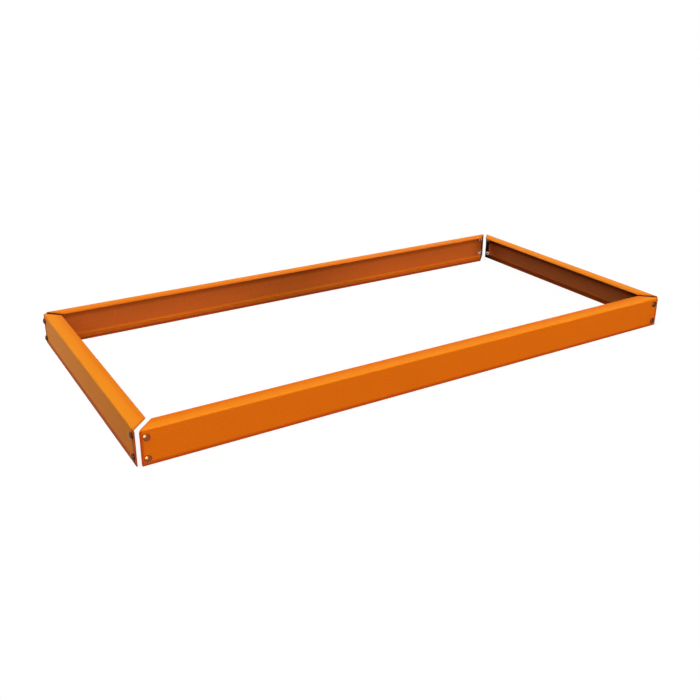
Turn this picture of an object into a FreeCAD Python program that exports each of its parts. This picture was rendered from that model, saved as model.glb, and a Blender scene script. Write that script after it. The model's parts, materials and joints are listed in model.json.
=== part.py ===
import FreeCAD, Part
import enum
import math
import os

import Sketcher

# Shelf frame of a boltless rack: two folded channels in front and behind, two folded angles at the
# sides, and shoulder rivets at every beam end that hang in the keyholes of the posts.
# X runs along the long beams, Y from front to back, Z up. The origin is the middle of the frame, level
# with its lower edges. Every beam is drawn with its web's outer face on Y = 0 and its flanges towards +Y,
# and its placement turns it to its own side of the frame.

# Driving dimensions in millimetres
DIMENSIONS = {
    # Over the outer faces of the side beams, and over those of the long beams
    "frame_length": 1000,
    "frame_depth": 500,
    # Section of a beam: height and width over the outside, the bend radius inside the fold
    "beam_height": 55,
    "flange_width": 25,
    "sheet_thickness": 1.5,
    "bend_radius": 1.5,
    # From the frame's outer corner to the end of each beam
    "corner_setback": 6,
    # Rivet axes: from the end of the beam, and from the lower rivet to the upper one
    "rivet_end_distance": 8.5,
    "rivet_pitch": 32,
    # Rivet: domed head, neck that hangs in the keyhole, shank through the web, tail closed inside it
    "head_diameter": 10.5,
    "head_rim": 0.6,
    "head_crown": 1.9,
    "neck_diameter": 7,
    "neck_length": 1.5,
    "shank_diameter": 5.4,
    "hole_clearance": 0.1,
    "tail_diameter": 8.4,
    "tail_rim": 0.4,
    "tail_crown": 0.9,
}

OUTER_BEND_RADIUS = "Sizes.bend_radius + Sizes.sheet_thickness"
LOWER_RIVET_HEIGHT = "(Sizes.beam_height - Sizes.rivet_pitch) / 2"

QUARTER_TURN = 90

# How close an edge's middle lies to the corner of the section that it runs through
SAME_PLACE = 0.001


class Axis(enum.IntEnum):
    """The axes of a sketch, by the numbers that its constraints know them by."""

    LEVEL = -1
    UPRIGHT = -2


class Point(enum.IntEnum):
    """The points of a sketch's edge, by the numbers that its constraints know them by."""

    START = 1
    END = 2
    CENTRE = 3


ORIGIN = (Axis.LEVEL, Point.START)

doc = FreeCAD.newDocument("shelf_frame")


def make_sheet():
    """The spreadsheet of driving dimensions, one alias and value to a row."""
    sheet = doc.addObject("Spreadsheet::Sheet", "Sizes")
    for row, (alias, value) in enumerate(DIMENSIONS.items(), start=1):
        sheet.set(f"A{row}", alias)
        sheet.set(f"B{row}", str(value))
        sheet.setAlias(f"B{row}", alias)
    doc.recompute()
    return sheet


sizes = make_sheet()


def beam_end(span):
    """Distance from the middle of a beam along the named span to either end, as an expression."""
    return f"(Sizes.{span} / 2 - Sizes.corner_setback)"


def rivet_place(span):
    """Distance from the middle of a beam to the rivets at either end, as an expression."""
    return f"({beam_end(span)} - Sizes.rivet_end_distance)"


def origin_feature(body, role):
    """One of the body's own origin planes or axes."""
    return next(feature for feature in body.Origin.OriginFeatures if feature.Role == role)


def add_sketch(body, name, plane):
    """An empty sketch on one of the body's origin planes."""
    sketch = body.newObject("Sketcher::SketchObject", f"{body.Name}_{name}")
    sketch.AttachmentSupport = [(origin_feature(body, plane), "")]
    sketch.MapMode = "FlatFace"
    return sketch


def constrain(sketch, *rule):
    """Adds one constraint to the sketch and returns its number."""
    return sketch.addConstraint(Sketcher.Constraint(*rule))


def dimension(sketch, name, expression, *rule):
    """Adds one named dimension to the sketch and ties it to the sheet."""
    sketch.renameConstraint(constrain(sketch, *rule), name)
    sketch.setExpression(f"Constraints.{name}", expression)


def add_line(sketch, start, end):
    """A straight edge, kept level or upright where it is drawn so."""
    line = sketch.addGeometry(Part.LineSegment(FreeCAD.Vector(*start, 0), FreeCAD.Vector(*end, 0)))
    if start[1] == end[1]:
        constrain(sketch, "Horizontal", line)
    elif start[0] == end[0]:
        constrain(sketch, "Vertical", line)
    return line


def add_circle(sketch, across, up, radius):
    """A circle about the given centre."""
    return sketch.addGeometry(Part.Circle(FreeCAD.Vector(across, up, 0), FreeCAD.Vector(0, 0, 1), radius))


def add_dome(sketch, rim_radius, rim_height, crown):
    """The arc of a dome between its rim and its apex on the upright axis: a crown below 0 faces down."""
    radius = (rim_radius**2 + crown**2) / (2 * abs(crown))
    centre_height = rim_height + crown - math.copysign(radius, crown)
    circle = Part.Circle(FreeCAD.Vector(0, centre_height, 0), FreeCAD.Vector(0, 0, 1), radius)
    rim_angle = math.atan2(rim_height - centre_height, rim_radius)
    apex_angle = math.copysign(math.pi / 2, crown)
    arc = Part.ArcOfCircle(circle, min(rim_angle, apex_angle), max(rim_angle, apex_angle))
    dome = sketch.addGeometry(arc)
    constrain(sketch, "PointOnObject", dome, Point.CENTRE, Axis.UPRIGHT)
    return dome


def close_chain(sketch, edges):
    """Joins the end of each edge to the start of the next, and the last to the first."""
    for edge, following in zip(edges, edges[1:] + edges[:1]):
        constrain(sketch, "Coincident", edge, Point.END, following, Point.START)


def add_outline(sketch, corners):
    """A closed outline of straight edges. Returns the edges, each from its own corner to the next."""
    edges = [add_line(sketch, start, end) for start, end in zip(corners, corners[1:] + corners[:1])]
    close_chain(sketch, edges)
    return edges


def dimension_section(sketch, top, tip, inside):
    """Height, flange width and sheet of a beam's section, whose outer corner is at the sketch's origin."""
    height, width, sheet = sizes.beam_height, sizes.flange_width, sizes.sheet_thickness
    dimension(sketch, "Height", "Sizes.beam_height", "DistanceY", *ORIGIN, top, Point.END, height)
    dimension(sketch, "FlangeWidth", "Sizes.flange_width", "DistanceX", *ORIGIN, top, Point.END, width)
    dimension(sketch, "FlangeSheet", "Sizes.sheet_thickness", "Distance", tip, sheet)
    dimension(sketch, "WebSheet", "Sizes.sheet_thickness", "DistanceX", *ORIGIN, inside, Point.END, sheet)


def draw_channel(sketch):
    """Section of a channel before its bends: an upright web with a flange inwards at top and bottom.

    Returns the outer and the inner corners that are bent.
    """
    height, width, sheet = sizes.beam_height, sizes.flange_width, sizes.sheet_thickness
    outer = [(0, 0), (0, height)]
    inner = [(sheet, height - sheet), (sheet, sheet)]
    corners = [*outer, (width, height), (width, height - sheet), *inner, (width, sheet), (width, 0)]
    web, top, top_tip, _, web_inside, _, bottom_tip, _ = add_outline(sketch, corners)
    constrain(sketch, "Coincident", web, Point.START, *ORIGIN)
    constrain(sketch, "Vertical", top_tip, Point.START, bottom_tip, Point.END)
    constrain(sketch, "Equal", top_tip, bottom_tip)
    dimension_section(sketch, top, top_tip, web_inside)
    return outer, inner


def draw_angle(sketch):
    """Section of an angle before its bend: an upright web with one flange inwards at the top.

    Returns the outer and the inner corner that is bent.
    """
    height, width, sheet = sizes.beam_height, sizes.flange_width, sizes.sheet_thickness
    outer = (0, height)
    inner = (sheet, height - sheet)
    corners = [(0, 0), outer, (width, height), (width, height - sheet), inner, (sheet, 0)]
    web, top, tip, _, web_inside, _ = add_outline(sketch, corners)
    constrain(sketch, "Coincident", web, Point.START, *ORIGIN)
    dimension_section(sketch, top, tip, web_inside)
    return [outer], [inner]


def bend(body, name, corners, radius):
    """Rounds the edges that run along the beam through the given corners of its section."""
    doc.recompute()
    base = body.Tip
    edges = []
    for number, edge in enumerate(base.Shape.Edges, start=1):
        middle = edge.CenterOfMass
        if any(math.dist((middle.y, middle.z), corner) < SAME_PLACE for corner in corners):
            edges.append(f"Edge{number}")
    fillet = body.newObject("PartDesign::Fillet", f"{body.Name}_{name}")
    fillet.Base = (base, edges)
    fillet.setExpression("Radius", radius)


def cut_mitre(body, name, span, height, upwards):
    """Cuts one flange at 45 degrees at the +X end, from the web's outer face, through sheet and bend."""
    half_length = getattr(sizes, span) / 2 - sizes.corner_setback
    width = sizes.flange_width
    sketch = add_sketch(body, f"{name}_outline", "XY_Plane")
    sketch.setExpression("AttachmentOffset.Base.z", height)
    end, tip, _ = add_outline(sketch, [(half_length, 0), (half_length, width), (half_length - width, width)])
    constrain(sketch, "PointOnObject", end, Point.START, Axis.LEVEL)
    constrain(sketch, "Equal", end, tip)
    dimension(sketch, "BeamEnd", beam_end(span), "DistanceX", *ORIGIN, end, Point.START, half_length)
    dimension(sketch, "Width", "Sizes.flange_width", "Distance", end, width)
    pocket = body.newObject("PartDesign::Pocket", f"{body.Name}_{name}")
    pocket.Profile = sketch
    pocket.Reversed = upwards
    pocket.setExpression("Length", OUTER_BEND_RADIUS)
    return pocket


def punch_holes(body, span):
    """The two holes through the web at the +X end that take the rivets' shanks."""
    across = getattr(sizes, span) / 2 - sizes.corner_setback - sizes.rivet_end_distance
    low = (sizes.beam_height - sizes.rivet_pitch) / 2
    radius = sizes.shank_diameter / 2 + sizes.hole_clearance
    sketch = add_sketch(body, "hole_outlines", "XZ_Plane")
    lower = add_circle(sketch, across, low, radius)
    upper = add_circle(sketch, across, low + sizes.rivet_pitch, radius)
    constrain(sketch, "Equal", lower, upper)
    constrain(sketch, "Vertical", lower, Point.CENTRE, upper, Point.CENTRE)
    dimension(sketch, "Across", rivet_place(span), "DistanceX", *ORIGIN, lower, Point.CENTRE, across)
    dimension(sketch, "Low", LOWER_RIVET_HEIGHT, "DistanceY", *ORIGIN, lower, Point.CENTRE, low)
    pitch = ("DistanceY", lower, Point.CENTRE, upper, Point.CENTRE, sizes.rivet_pitch)
    dimension(sketch, "Pitch", "Sizes.rivet_pitch", *pitch)
    dimension(sketch, "Radius", "Sizes.shank_diameter / 2 + Sizes.hole_clearance", "Radius", lower, radius)
    pocket = body.newObject("PartDesign::Pocket", f"{body.Name}_holes")
    pocket.Profile = sketch
    pocket.setExpression("Length", "Sizes.sheet_thickness")
    return pocket


def mirror_end(body, features):
    """Repeats the features of the +X end at the other end of the beam."""
    mirror = body.newObject("PartDesign::Mirrored", f"{body.Name}_other_end")
    mirror.Originals = features
    mirror.MirrorPlane = (origin_feature(body, "YZ_Plane"), [""])
    body.Tip = mirror


def make_beam(label, span, draw_section):
    """A folded beam: its section along its length, its bends, mitred flange ends and rivet holes."""
    body = doc.addObject("PartDesign::Body", label)
    section = add_sketch(body, "section", "YZ_Plane")
    outer_corners, inner_corners = draw_section(section)
    pad = body.newObject("PartDesign::Pad", f"{label}_pad")
    pad.Profile = section
    pad.SideType = "Symmetric"
    pad.setExpression("Length", f"2 * {beam_end(span)}")
    bend(body, "outer_bends", outer_corners, OUTER_BEND_RADIUS)
    bend(body, "inner_bends", inner_corners, "Sizes.bend_radius")

    end_cuts = [cut_mitre(body, "top_mitre", span, "Sizes.beam_height", False)]
    if draw_section is draw_channel:
        end_cuts.append(cut_mitre(body, "bottom_mitre", span, "0", True))
    end_cuts.append(punch_holes(body, span))
    mirror_end(body, end_cuts)
    return body


def draw_rivet(sketch):
    """Half section of a rivet, its axis upright: the head below the web's outer face, the tail above."""
    head_radius, neck_radius = sizes.head_diameter / 2, sizes.neck_diameter / 2
    shank_radius, tail_radius = sizes.shank_diameter / 2, sizes.tail_diameter / 2
    underside = -sizes.neck_length
    head_edge = underside - sizes.head_rim
    seat = sizes.sheet_thickness
    tail_edge = seat + sizes.tail_rim

    head = add_dome(sketch, head_radius, head_edge, -sizes.head_crown)
    rim = add_line(sketch, (head_radius, head_edge), (head_radius, underside))
    under_head = add_line(sketch, (head_radius, underside), (neck_radius, underside))
    neck = add_line(sketch, (neck_radius, underside), (neck_radius, 0))
    shoulder = add_line(sketch, (neck_radius, 0), (shank_radius, 0))
    shank = add_line(sketch, (shank_radius, 0), (shank_radius, seat))
    tail_seat = add_line(sketch, (shank_radius, seat), (tail_radius, seat))
    tail_rim = add_line(sketch, (tail_radius, seat), (tail_radius, tail_edge))
    tail = add_dome(sketch, tail_radius, tail_edge, sizes.tail_crown)
    axis = add_line(sketch, (0, tail_edge + sizes.tail_crown), (0, head_edge - sizes.head_crown))
    close_chain(sketch, [head, rim, under_head, neck, shoulder, shank, tail_seat, tail_rim, tail, axis])
    constrain(sketch, "PointOnObject", axis, Point.START, Axis.UPRIGHT)
    constrain(sketch, "PointOnObject", shoulder, Point.START, Axis.LEVEL)

    for name, edge, radius in [
        ("head", rim, head_radius),
        ("neck", neck, neck_radius),
        ("shank", shank, shank_radius),
        ("tail", tail_rim, tail_radius),
    ]:
        half = f"Sizes.{name}_diameter / 2"
        dimension(sketch, f"{name}_radius", half, "DistanceX", *ORIGIN, edge, Point.END, radius)
    for name, edge in [
        ("head_rim", rim),
        ("neck_length", neck),
        ("sheet_thickness", shank),
        ("tail_rim", tail_rim),
    ]:
        dimension(sketch, name, f"Sizes.{name}", "Distance", edge, getattr(sizes, name))
    head_crown = ("DistanceY", axis, Point.END, head, Point.END, sizes.head_crown)
    tail_crown = ("DistanceY", tail, Point.START, axis, Point.START, sizes.tail_crown)
    dimension(sketch, "head_crown", "Sizes.head_crown", *head_crown)
    dimension(sketch, "tail_crown", "Sizes.tail_crown", *tail_crown)


def make_rivet_pair(label, span, end):
    """The two rivets at one end of a beam, separate solids: end is -1 or +1 along the beam's own X."""
    body = doc.addObject("PartDesign::Body", label)
    sketch = add_sketch(body, "half_section", "XY_Plane")
    sketch.setExpression("AttachmentOffset.Base.x", f"{end} * {rivet_place(span)}")
    sketch.setExpression("AttachmentOffset.Base.z", LOWER_RIVET_HEIGHT)
    draw_rivet(sketch)
    rivet = body.newObject("PartDesign::Revolution", f"{label}_lower")
    rivet.Profile = sketch
    rivet.ReferenceAxis = (sketch, ["V_Axis"])
    pair = body.newObject("PartDesign::LinearPattern", f"{label}_pair")
    pair.Originals = [rivet]
    pair.Direction = (origin_feature(body, "Z_Axis"), [""])
    pair.Occurrences = 2
    pair.setExpression("Length", "Sizes.rivet_pitch")
    body.Tip = pair
    return body


def make_side(side, span, draw_section, end_names, quarter_turns, axis, place):
    """One side of the frame: its beam and the rivets at its two ends, turned about Z and moved out."""
    bodies = [make_beam(f"{side}_beam", span, draw_section)]
    for end, end_name in zip((-1, 1), end_names):
        bodies.append(make_rivet_pair(f"{side}_beam_{end_name}_rivets", span, end))
    for body in bodies:
        body.Placement.Rotation = FreeCAD.Rotation(FreeCAD.Vector(0, 0, 1), QUARTER_TURN * quarter_turns)
        body.setExpression(f"Placement.Base.{axis}", place)
    return bodies


def check_document(bodies):
    """Stops before anything is written if a feature failed, cut nothing or left a broken shape."""
    for item in doc.Objects:
        if "Invalid" in item.State or "Error" in item.State:
            raise RuntimeError(f"{item.Name} failed: {item.State}")
    for sketch in doc.findObjects("Sketcher::SketchObject"):
        if not sketch.FullyConstrained:
            raise RuntimeError(f"{sketch.Name} isn't fully constrained")
    for pocket in doc.findObjects("PartDesign::Pocket"):
        if pocket.Shape.Volume >= pocket.BaseFeature.Shape.Volume:
            raise RuntimeError(f"{pocket.Name} cuts nothing")
    for body in bodies:
        if body.Shape.isNull() or not body.Shape.isValid():
            raise RuntimeError(f"{body.Label} has no valid shape")


frame_bodies = [
    *make_side("front", "frame_length", draw_channel, ("left", "right"), 0, "y", "-Sizes.frame_depth / 2"),
    *make_side("back", "frame_length", draw_channel, ("right", "left"), 2, "y", "Sizes.frame_depth / 2"),
    *make_side("left", "frame_depth", draw_angle, ("back", "front"), -1, "x", "-Sizes.frame_length / 2"),
    *make_side("right", "frame_depth", draw_angle, ("front", "back"), 1, "x", "Sizes.frame_length / 2"),
]
doc.recompute()
check_document(frame_bodies)

os.makedirs("parts", exist_ok=True)
for frame_body in frame_bodies:
    frame_body.Shape.exportStep(f"parts/{frame_body.Label}.step")
    solids = len(frame_body.Shape.Solids)
    print(f"{frame_body.Label}: {solids} solid(s), {frame_body.Shape.Volume:.1f} mm3")
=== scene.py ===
import json
import math
from types import SimpleNamespace

import bpy
from mathutils import Matrix, Vector

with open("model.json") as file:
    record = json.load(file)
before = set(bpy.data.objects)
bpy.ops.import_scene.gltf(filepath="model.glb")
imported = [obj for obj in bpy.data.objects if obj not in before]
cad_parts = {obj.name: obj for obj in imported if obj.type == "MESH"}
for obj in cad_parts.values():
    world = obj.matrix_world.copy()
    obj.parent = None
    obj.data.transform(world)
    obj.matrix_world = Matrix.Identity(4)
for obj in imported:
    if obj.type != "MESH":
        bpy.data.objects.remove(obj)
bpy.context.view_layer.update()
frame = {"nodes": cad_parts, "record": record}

MILLIMETRE = 0.001


def reach(name, axis):
    """How far a node's mesh reaches along an axis, in metres from the middle of the frame's foot."""
    return max(vertex.co[axis] for vertex in frame["nodes"][name].data.vertices)


# The outer faces of the webs: a rivet's head lies outside them, its tail inside
HALF_LENGTH = reach("right_beam", 0)
HALF_DEPTH = reach("back_beam", 1)
FACE_TOLERANCE = 1.0 * MILLIMETRE

# Camera: its place in metres, its turns in degrees, its lens in millimetres, and how far the frame is moved
# to the right and up, in picture widths, as in a photograph that was trimmed to its object
CAMERA_PLACE = (-0.7768, -1.2270, 0.5977)
CAMERA_YAW = 31.149
CAMERA_PITCH = 21.234
CAMERA_ROLL = 0.181
CAMERA_LENS = 44.22
CAMERA_SHIFT = (0.0100, -0.0493)
SENSOR_WIDTH = 36.0
LEVEL = 90.0  # tilt that makes a camera look level: without it, it looks straight down

# Powder coat, as linear colours: on channels and angles, then painted sheen on the angles' outer faces from
# front to back and inside the beams, then painted shade at edges and tips, painted highlights by the lower and
# top folds, and painted shade inside
ORANGE = (0.80, 0.19, 0.006)
ANGLE_ORANGE = (0.80, 0.228, 0.010)
NEAR_SHEEN_ORANGE = (0.745, 0.222, 0.017)
FAR_SHEEN_ORANGE = (0.91, 0.302, 0.038)
INNER_SHEEN_ORANGE = (0.79, 0.205, 0.032)
INNER_ANGLE_SHEEN_ORANGE = (0.87, 0.228, 0.055)
EDGE_SHADE_ORANGE = (0.54, 0.065, 0.003)
FOLD_HIGHLIGHT_ORANGE = (0.93, 0.29, 0.02)
TOP_FOLD_HIGHLIGHT_ORANGE = (0.79, 0.26, 0.012)
INNER_SHADE_ORANGE = (0.02, 0.006, 0.002)

# Its texture: each noise as scale and detail, then the ranges that the noises are spread over
CLOUDS = (9.0, 3.0)
GRAIN = (420.0, 2.0)
PEEL = (340.0, 1.5)
PEBBLES = (1300.0, 1.0)
CLOUD_SHADES = (0.95, 1.05)
GRAIN_SHADES = (0.84, 1.16)
EDGE_SHADE_SHARES = (0.75, 1.0)
PEBBLE_SHARE = 0.35
COAT_ROUGHNESS = (0.42, 0.58)
COAT_SPECULAR = 0.015
COAT_ROUNDING = 0.5 * MILLIMETRE
COAT_BUMP = 0.35
COAT_BUMP_DEPTH = 0.12 * MILLIMETRE

# Where painted shade and highlights lie on the coat, in metres. Heights go up from the floor, depths in from
# the outer face and lengths along a beam, and each of these plural names is a pair, from and to. A share says
# how far a change goes.
# Painted shade at the ends of the beams, off the corner: wider on the angles' webs, weaker on the top flanges
END_LENGTHS = (0.0080, 0.0115)
ANGLE_END_EXTRA = 0.0060
TOP_END_SHARE = 0.4
# Painted shade along the lower edges of the webs, reaching higher on the angles, and on the tips of the lower
# flanges
LOW_HEIGHTS = (0.0035, 0.0080)
ANGLE_LOW_EXTRA = 0.0030
LOW_TIP_DEPTHS = (0.0150, 0.0210)
# Where a web gives way to the top flange, the height that only a top flange reaches, its tip (painted shade)
# and its fold (painted highlight)
WEB_END_HEIGHTS = (0.0520, 0.0545)
TOP_FLANGE_HEIGHT = 0.0534
TOP_TIP_DEPTHS = (0.0145, 0.0195)
TOP_TIP_SHARE = 0.25
TOP_FOLD_DEPTHS = (0.0095, 0.0135)
TOP_FOLD_SHARE = 0.6
# Painted highlight low down inside the beams, along the channels' lower folds
FOLD_HEIGHTS = (0.0040, 0.0070)
FOLD_DEPTHS = (0.0080, 0.0180)
# Painted sheen on the outer faces of the angles, growing from front to back
SIDE_LENGTHS = (-0.2000, 0.2000)
# Painted shade inside: under the top flange, at the ends and at the lower edge
RECESS_HEIGHTS = (0.0345, 0.0435)
CHANNEL_RECESS = 0.35
ANGLE_RECESS = 0.82
LOW_RECESS = 0.5
# Painted shade inside the channels, darker upwards and towards the middle, and inside the angles, darker
# towards the ends
CHANNEL_HEIGHTS = (0.0120, 0.0400)
CHANNEL_SHARE = 0.2
MIDDLE_LENGTHS = (0.0300, 0.2200)
MIDDLE_SHARE = 0.2
ANGLE_LENGTHS = (0.0200, 0.0800)
ANGLE_SHARE = 0.45

# Rivets: painted light on the two nearest heads and their dull patches, painted shade on the other heads, and
# the closed tails
LIT_HEAD_ZINC = (0.26, 0.067, 0.020)
LIT_HEAD_DULL_ZINC = (0.19, 0.043, 0.012)
SHADED_HEAD_ZINC = (0.10, 0.022, 0.006)
BRIGHT_STEEL = (0.50, 0.44, 0.36)

# Their texture: two noises as scale and detail, and the values of the first between which the plate turns dull
PATCHES = (260.0, 3.0)
SCRATCHES = (2600.0, 2.0)
DULL_PATCHES = (0.4, 0.7)
DULL_SHARE = 0.5
ZINC_ROUGHNESS = (0.2, 0.3)
ZINC_ROUNDING = 0.4 * MILLIMETRE
ZINC_BUMP = 0.08
ZINC_BUMP_DEPTH = 0.05 * MILLIMETRE

# Rays that round an edge in the shading, on both finishes
ROUNDING_SAMPLES = 6

# Light: each sun's strength, colour, spread in degrees, and the direction that it comes from
WHITE = (1.0, 1.0, 1.0)
SUNS = {
    "key": (1.97, WHITE, 12, (-0.41, 0.02, 0.90)),
    "soft": (1.1, WHITE, 80, (-0.30, -0.55, 0.78)),
    "front_fill": (1.6, (1.0, 0.71, 0.55), 10, (-0.02, -0.99, 0.08)),
    "back_fill": (2.4, WHITE, 20, (0.55, 0.80, 0.06)),
    "glint": (15.0, (0.84, 0.88, 1.0), 60, (-0.65, -0.72, 0.24)),
}
# Fills that leave no highlight, and a light that shows only as one
WITHOUT_GLOSS = ("front_fill", "back_fill")
GLOSS_ONLY = ("glint",)

# World and floor: the strength of the white that is seen, the even light that falls on the part, how much the
# floor throws back, the share of the floor's look that takes shadow, and its size in metres
SEEN_WHITE = 1.0
AMBIENT = 0.16
FLOOR_BOUNCE = 0.05
FLOOR_SHADE = 0.07
FLOOR_SIZE = 12.0


class Nodes:
    """Shorthand for building one node tree."""

    def __init__(self, tree):
        self.tree = tree

    def add(self, kind, inputs=None, **settings):
        """A node with its settings, and its inputs given as values or as other nodes' outputs."""
        node = self.tree.nodes.new(kind)
        for name, value in settings.items():
            setattr(node, name, value)
        for name, value in (inputs or {}).items():
            self.feed(node.inputs[name], value)
        return node

    def feed(self, socket, value):
        if isinstance(value, bpy.types.NodeSocket):
            self.tree.links.new(value, socket)
        elif isinstance(value, tuple) and len(value) == 3 and socket.type == "RGBA":
            socket.default_value = (*value, 1.0)
        else:
            socket.default_value = value

    def axes(self, place):
        return self.add("ShaderNodeSeparateXYZ", {"Vector": place}).outputs

    def noise(self, place, scale, detail):
        inputs = {"Vector": place, "Scale": scale, "Detail": detail}
        return self.add("ShaderNodeTexNoise", inputs).outputs["Fac"]

    def spread(self, value, low, high, from_low=0.0, from_high=1.0):
        """The value moved from one range to another, and kept within it."""
        inputs = {
            "Value": value,
            "From Min": from_low,
            "From Max": from_high,
            "To Min": low,
            "To Max": high,
        }
        return self.add("ShaderNodeMapRange", inputs).outputs["Result"]

    def math(self, operation, *values):
        return self.add("ShaderNodeMath", dict(enumerate(values)), operation=operation).outputs[0]

    def chain(self, operation, first, *others):
        """One operation carried along a row of values."""
        for other in others:
            first = self.math(operation, first, other)
        return first

    def product(self, *values):
        return self.chain("MULTIPLY", *values)

    def total(self, *values):
        return self.chain("ADD", *values)

    def largest(self, *values):
        return self.chain("MAXIMUM", *values)

    def rest(self, value):
        """What the value leaves of 1."""
        return self.math("SUBTRACT", 1.0, value)

    def mix(self, share, first, second, blend="MIX"):
        node = self.add("ShaderNodeMix", data_type="RGBA", blend_type=blend)
        colours = [socket for socket in node.inputs if socket.type == "RGBA"]
        self.feed(node.inputs["Factor"], share)
        self.feed(colours[0], first)
        self.feed(colours[1], second)
        return next(socket for socket in node.outputs if socket.type == "RGBA")

    def relief(self, height, strength, depth, rounding):
        """A normal with edges rounded in the shading and a fine bump on top."""
        bevel = self.add("ShaderNodeBevel", {"Radius": rounding}, samples=ROUNDING_SAMPLES)
        inputs = {
            "Height": height,
            "Strength": strength,
            "Distance": depth,
            "Normal": bevel.outputs["Normal"],
        }
        return self.add("ShaderNodeBump", inputs).outputs["Normal"]


def new_material(name):
    material = bpy.data.materials.new(name)
    material.use_nodes = True
    return material, Nodes(material.node_tree), material.node_tree.nodes["Principled BSDF"]


def places_on_beam(nodes, place):
    """Where a point lies on its beam: distances in metres, and masks that are 1 where they hold."""
    axes = nodes.axes(place)
    along = nodes.math("ABSOLUTE", axes["X"])
    across = nodes.math("ABSOLUTE", axes["Y"])
    height = axes["Z"]
    # Above 0 on the angles and below 0 on the channels: the corner's mitre lies between them
    from_corner = nodes.math("SUBTRACT", nodes.math("SUBTRACT", along, across), HALF_LENGTH - HALF_DEPTH)
    inwards = nodes.math(
        "MINIMUM", nodes.math("SUBTRACT", HALF_LENGTH, along), nodes.math("SUBTRACT", HALF_DEPTH, across)
    )
    outside = nodes.math("COMPARE", inwards, 0.0, FACE_TOLERANCE)
    on_top = nodes.math("GREATER_THAN", height, TOP_FLANGE_HEIGHT)
    return SimpleNamespace(
        along=along,
        front_to_back=axes["Y"],
        height=height,
        from_corner=from_corner,
        inwards=inwards,
        on_angle=nodes.math("GREATER_THAN", from_corner, 0.0),
        on_top=on_top,
        on_web=nodes.spread(height, 1.0, 0.0, *WEB_END_HEIGHTS),
        outside=outside,
        inner=nodes.rest(nodes.largest(outside, on_top)),
    )


def end_mask(nodes, at):
    """Painted shade at the cut ends of the beams, weaker on the top flanges."""
    extra = nodes.product(at.on_angle, at.on_web, ANGLE_END_EXTRA)
    length = nodes.math("SUBTRACT", nodes.math("ABSOLUTE", at.from_corner), extra)
    band = nodes.spread(length, 1.0, 0.0, *END_LENGTHS)
    return nodes.product(band, nodes.spread(at.on_web, TOP_END_SHARE, 1.0))


def low_mask(nodes, at):
    """Painted shade along the lower edges of the webs."""
    height = nodes.math("SUBTRACT", at.height, nodes.product(at.on_angle, ANGLE_LOW_EXTRA))
    band = nodes.spread(height, 1.0, 0.0, *LOW_HEIGHTS)
    return nodes.product(band, nodes.largest(at.outside, at.on_angle))


def edge_shade_mask(nodes, at, ends, low):
    """Painted shade at the ends, along the lower edges and on the tips of the flanges."""
    lower_flange = nodes.math("LESS_THAN", at.height, LOW_HEIGHTS[0])
    low_tips = nodes.product(nodes.spread(at.inwards, 0.0, 1.0, *LOW_TIP_DEPTHS), lower_flange)
    top_tips = nodes.product(nodes.spread(at.inwards, 0.0, TOP_TIP_SHARE, *TOP_TIP_DEPTHS), at.on_top)
    return nodes.largest(ends, low, low_tips, top_tips)


def fold_highlight_mask(nodes, at):
    """Painted highlight low down inside the beams, along the lower folds."""
    depth = nodes.spread(at.inwards, 1.0, 0.0, *FOLD_DEPTHS)
    height = nodes.spread(at.height, 1.0, 0.0, *FOLD_HEIGHTS)
    return nodes.product(depth, height, at.inner)


def top_fold_highlight_mask(nodes, at):
    """Painted highlight on the top flanges beside their folds."""
    return nodes.product(nodes.spread(at.inwards, TOP_FOLD_SHARE, 0.0, *TOP_FOLD_DEPTHS), at.on_top)


def inner_shade_mask(nodes, at, ends, low):
    """Painted shade inside the beams, darkest under the top flanges."""
    under_top = nodes.spread(at.height, 0.0, 1.0, *RECESS_HEIGHTS)
    recess = nodes.product(
        nodes.largest(under_top, ends, nodes.product(low, LOW_RECESS)),
        nodes.spread(at.on_angle, CHANNEL_RECESS, ANGLE_RECESS),
    )
    channel = nodes.product(
        nodes.total(
            nodes.spread(at.height, 0.0, CHANNEL_SHARE, *CHANNEL_HEIGHTS),
            nodes.spread(at.along, MIDDLE_SHARE, 0.0, *MIDDLE_LENGTHS),
        ),
        nodes.rest(at.on_angle),
    )
    angle = nodes.product(nodes.spread(at.from_corner, ANGLE_SHARE, 0.0, *ANGLE_LENGTHS), at.on_angle)
    return nodes.product(nodes.total(recess, channel, angle), at.inner)


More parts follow.
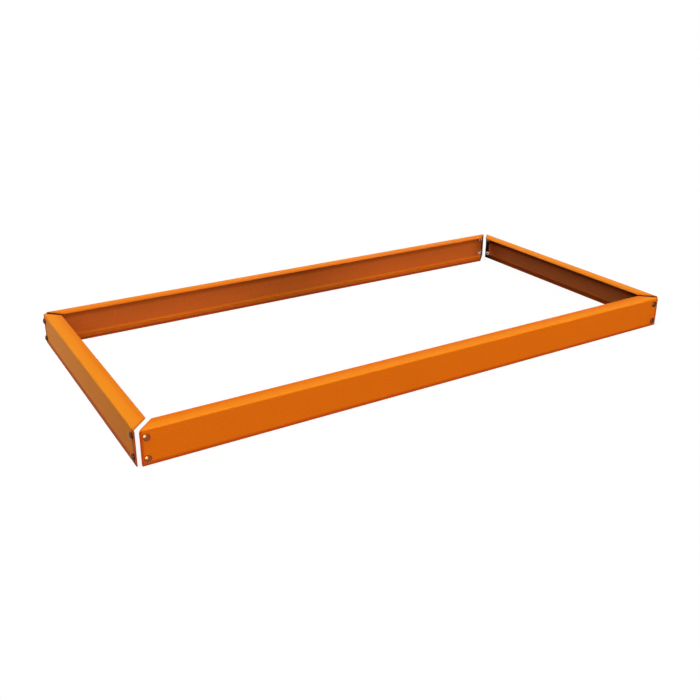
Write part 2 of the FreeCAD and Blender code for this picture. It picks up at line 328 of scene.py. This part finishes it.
def coat_colour(nodes, place, grain):
    """Orange that varies with the place on the beam, with painted shade, sheen and highlights, in faint clouds
    and grain.
    """
    at = places_on_beam(nodes, place)
    ends = end_mask(nodes, at)
    low = low_mask(nodes, at)
    # Painted sheen on the angles' outer webs, lighter and yellower towards the back
    side = nodes.product(at.on_angle, at.outside, at.on_web)
    far = nodes.spread(at.front_to_back, 0.0, 1.0, *SIDE_LENGTHS)
    side_sheen_orange = nodes.mix(far, NEAR_SHEEN_ORANGE, FAR_SHEEN_ORANGE)
    clouds = nodes.noise(place, *CLOUDS)
    shade = nodes.product(nodes.spread(clouds, *CLOUD_SHADES), nodes.spread(grain, *GRAIN_SHADES))
    grey = {"Red": shade, "Green": shade, "Blue": shade}
    tone = nodes.add("ShaderNodeCombineColor", grey).outputs["Color"]

    colour = nodes.mix(at.on_angle, ORANGE, ANGLE_ORANGE)
    colour = nodes.mix(side, colour, side_sheen_orange)
    # Painted sheen inside the beams: whiter than outside, and brighter inside the angles
    colour = nodes.mix(at.inner, colour, nodes.mix(at.on_angle, INNER_SHEEN_ORANGE, INNER_ANGLE_SHEEN_ORANGE))
    colour = nodes.mix(1.0, colour, tone, "MULTIPLY")
    # Painted highlight along the lower folds inside
    colour = nodes.mix(fold_highlight_mask(nodes, at), colour, FOLD_HIGHLIGHT_ORANGE)
    # Painted highlight on the top flanges beside their folds
    colour = nodes.mix(top_fold_highlight_mask(nodes, at), colour, TOP_FOLD_HIGHLIGHT_ORANGE)
    # Painted shade: ends, lower edges and flange tips darkened, broken up by the grain
    edge_shade = nodes.product(edge_shade_mask(nodes, at, ends, low), nodes.spread(grain, *EDGE_SHADE_SHARES))
    colour = nodes.mix(edge_shade, colour, EDGE_SHADE_ORANGE)
    # Painted shade inside the beams
    return nodes.mix(inner_shade_mask(nodes, at, ends, low), colour, INNER_SHADE_ORANGE)


def powder_coat():
    """Satin orange powder coat with a fine orange peel, its colour carrying painted shade, sheen and
    highlights.
    """
    material, nodes, shader = new_material("orange_powder_coat")
    place = nodes.add("ShaderNodeTexCoord").outputs["Object"]
    grain = nodes.noise(place, *GRAIN)
    peel = nodes.noise(place, *PEEL)
    pebbles = nodes.noise(place, *PEBBLES)
    height = nodes.total(peel, nodes.product(pebbles, PEBBLE_SHARE))
    nodes.feed(shader.inputs["Base Color"], coat_colour(nodes, place, grain))
    nodes.feed(shader.inputs["Roughness"], nodes.spread(pebbles, *COAT_ROUGHNESS))
    nodes.feed(shader.inputs["Normal"], nodes.relief(height, COAT_BUMP, COAT_BUMP_DEPTH, COAT_ROUNDING))
    shader.inputs["Specular IOR Level"].default_value = COAT_SPECULAR
    return material


def zinc_plate():
    """Zinc plate with bright tails: painted light makes the front beam's left heads lighter and patchy,
    painted shade darkens the other heads.
    """
    material, nodes, shader = new_material("zinc_plated_steel")
    place = nodes.add("ShaderNodeTexCoord").outputs["Object"]
    axes = nodes.axes(place)
    patches = nodes.noise(place, *PATCHES)
    scratches = nodes.noise(place, *SCRATCHES)
    dull = nodes.spread(patches, 0.0, DULL_SHARE, *DULL_PATCHES)
    nearest = nodes.product(
        nodes.math("LESS_THAN", axes["X"], 0.0), nodes.math("LESS_THAN", axes["Y"], -HALF_DEPTH)
    )
    inside = nodes.product(
        nodes.math("COMPARE", axes["X"], 0.0, HALF_LENGTH), nodes.math("COMPARE", axes["Y"], 0.0, HALF_DEPTH)
    )
    # Painted light on the two nearest heads, painted shade on the others
    plated = nodes.mix(nearest, SHADED_HEAD_ZINC, nodes.mix(dull, LIT_HEAD_ZINC, LIT_HEAD_DULL_ZINC))
    nodes.feed(shader.inputs["Base Color"], nodes.mix(inside, plated, BRIGHT_STEEL))
    nodes.feed(shader.inputs["Roughness"], nodes.spread(scratches, *ZINC_ROUGHNESS))
    nodes.feed(shader.inputs["Normal"], nodes.relief(scratches, ZINC_BUMP, ZINC_BUMP_DEPTH, ZINC_ROUNDING))
    shader.inputs["Metallic"].default_value = 1.0
    return material


def seen_rays(nodes):
    """1 for what the eye, a mirror or a glass sees, 0 for the light that falls on a surface."""
    rays = nodes.add("ShaderNodeLightPath").outputs
    return nodes.largest(rays["Is Camera Ray"], rays["Is Glossy Ray"], rays["Is Transmission Ray"])


def white_floor():
    """A white floor that keeps a soft shadow and throws little light back."""
    material = bpy.data.materials.new("white_floor")
    material.use_nodes = True
    nodes = Nodes(material.node_tree)
    material.node_tree.nodes.clear()
    lit = nodes.add("ShaderNodeBsdfDiffuse", {"Color": WHITE}).outputs["BSDF"]
    glow = nodes.add("ShaderNodeEmission", {"Color": WHITE, "Strength": SEEN_WHITE}).outputs["Emission"]
    shown = nodes.add("ShaderNodeMixShader", {0: FLOOR_SHADE, 1: glow, 2: lit}).outputs["Shader"]
    bounce = nodes.add("ShaderNodeBsdfDiffuse", {"Color": (FLOOR_BOUNCE,) * 3}).outputs["BSDF"]
    both = nodes.add("ShaderNodeMixShader", {0: seen_rays(nodes), 1: bounce, 2: shown}).outputs["Shader"]
    nodes.add("ShaderNodeOutputMaterial", {"Surface": both})
    return material


def make_floor():
    half = FLOOR_SIZE / 2
    corners = [(-half, -half, 0), (half, -half, 0), (half, half, 0), (-half, half, 0)]
    mesh = bpy.data.meshes.new("floor")
    mesh.from_pydata(corners, [], [(0, 1, 2, 3)])
    mesh.materials.append(white_floor())
    floor = bpy.data.objects.new("floor", mesh)
    bpy.context.scene.collection.objects.link(floor)


def make_world():
    """White where it is seen, and a plain even light where it falls on the object."""
    world = bpy.data.worlds.new("studio")
    world.use_nodes = True
    nodes = Nodes(world.node_tree)
    world.node_tree.nodes.clear()
    falling = nodes.add("ShaderNodeBackground", {"Color": WHITE, "Strength": AMBIENT}).outputs["Background"]
    shown = nodes.add("ShaderNodeBackground", {"Color": WHITE, "Strength": SEEN_WHITE}).outputs["Background"]
    both = nodes.add("ShaderNodeMixShader", {0: seen_rays(nodes), 1: falling, 2: shown}).outputs["Shader"]
    nodes.add("ShaderNodeOutputWorld", {"Surface": both})
    bpy.context.scene.world = world


def make_sun(name, strength, colour, spread, source):
    data = bpy.data.lights.new(name, "SUN")
    data.energy = strength
    data.color = colour
    data.angle = math.radians(spread)
    sun = bpy.data.objects.new(name, data)
    sun.rotation_mode = "QUATERNION"
    sun.rotation_quaternion = Vector(source).to_track_quat("Z", "Y")
    sun.visible_glossy = name not in WITHOUT_GLOSS
    sun.visible_diffuse = name not in GLOSS_ONLY
    bpy.context.scene.collection.objects.link(sun)


def make_camera():
    data = bpy.data.cameras.new("camera")
    data.sensor_width = SENSOR_WIDTH
    data.lens = CAMERA_LENS
    data.shift_x, data.shift_y = CAMERA_SHIFT
    camera = bpy.data.objects.new("camera", data)
    turned = Matrix.Rotation(math.radians(-CAMERA_YAW), 3, "Z")
    tilted = Matrix.Rotation(math.radians(LEVEL - CAMERA_PITCH), 3, "X")
    rolled = Matrix.Rotation(math.radians(CAMERA_ROLL), 3, "Z")
    camera.matrix_world = Matrix.LocRotScale(CAMERA_PLACE, turned @ tilted @ rolled, None)
    bpy.context.scene.collection.objects.link(camera)
    bpy.context.scene.camera = camera


def dress(node, material):
    """Gives a CAD node its finish."""
    node.data.materials.clear()
    node.data.materials.append(material)


finishes = {"orange_powder_coat": powder_coat(), "zinc_plated_steel": zinc_plate()}
for subpart in frame["record"]["subparts"]:
    node = frame["nodes"][subpart["node"]]
    dress(node, finishes[subpart["material_slot"]])

make_floor()
make_world()
for name, settings in SUNS.items():
    make_sun(name, *settings)
make_camera()
bpy.context.scene.view_settings.view_transform = "Standard"
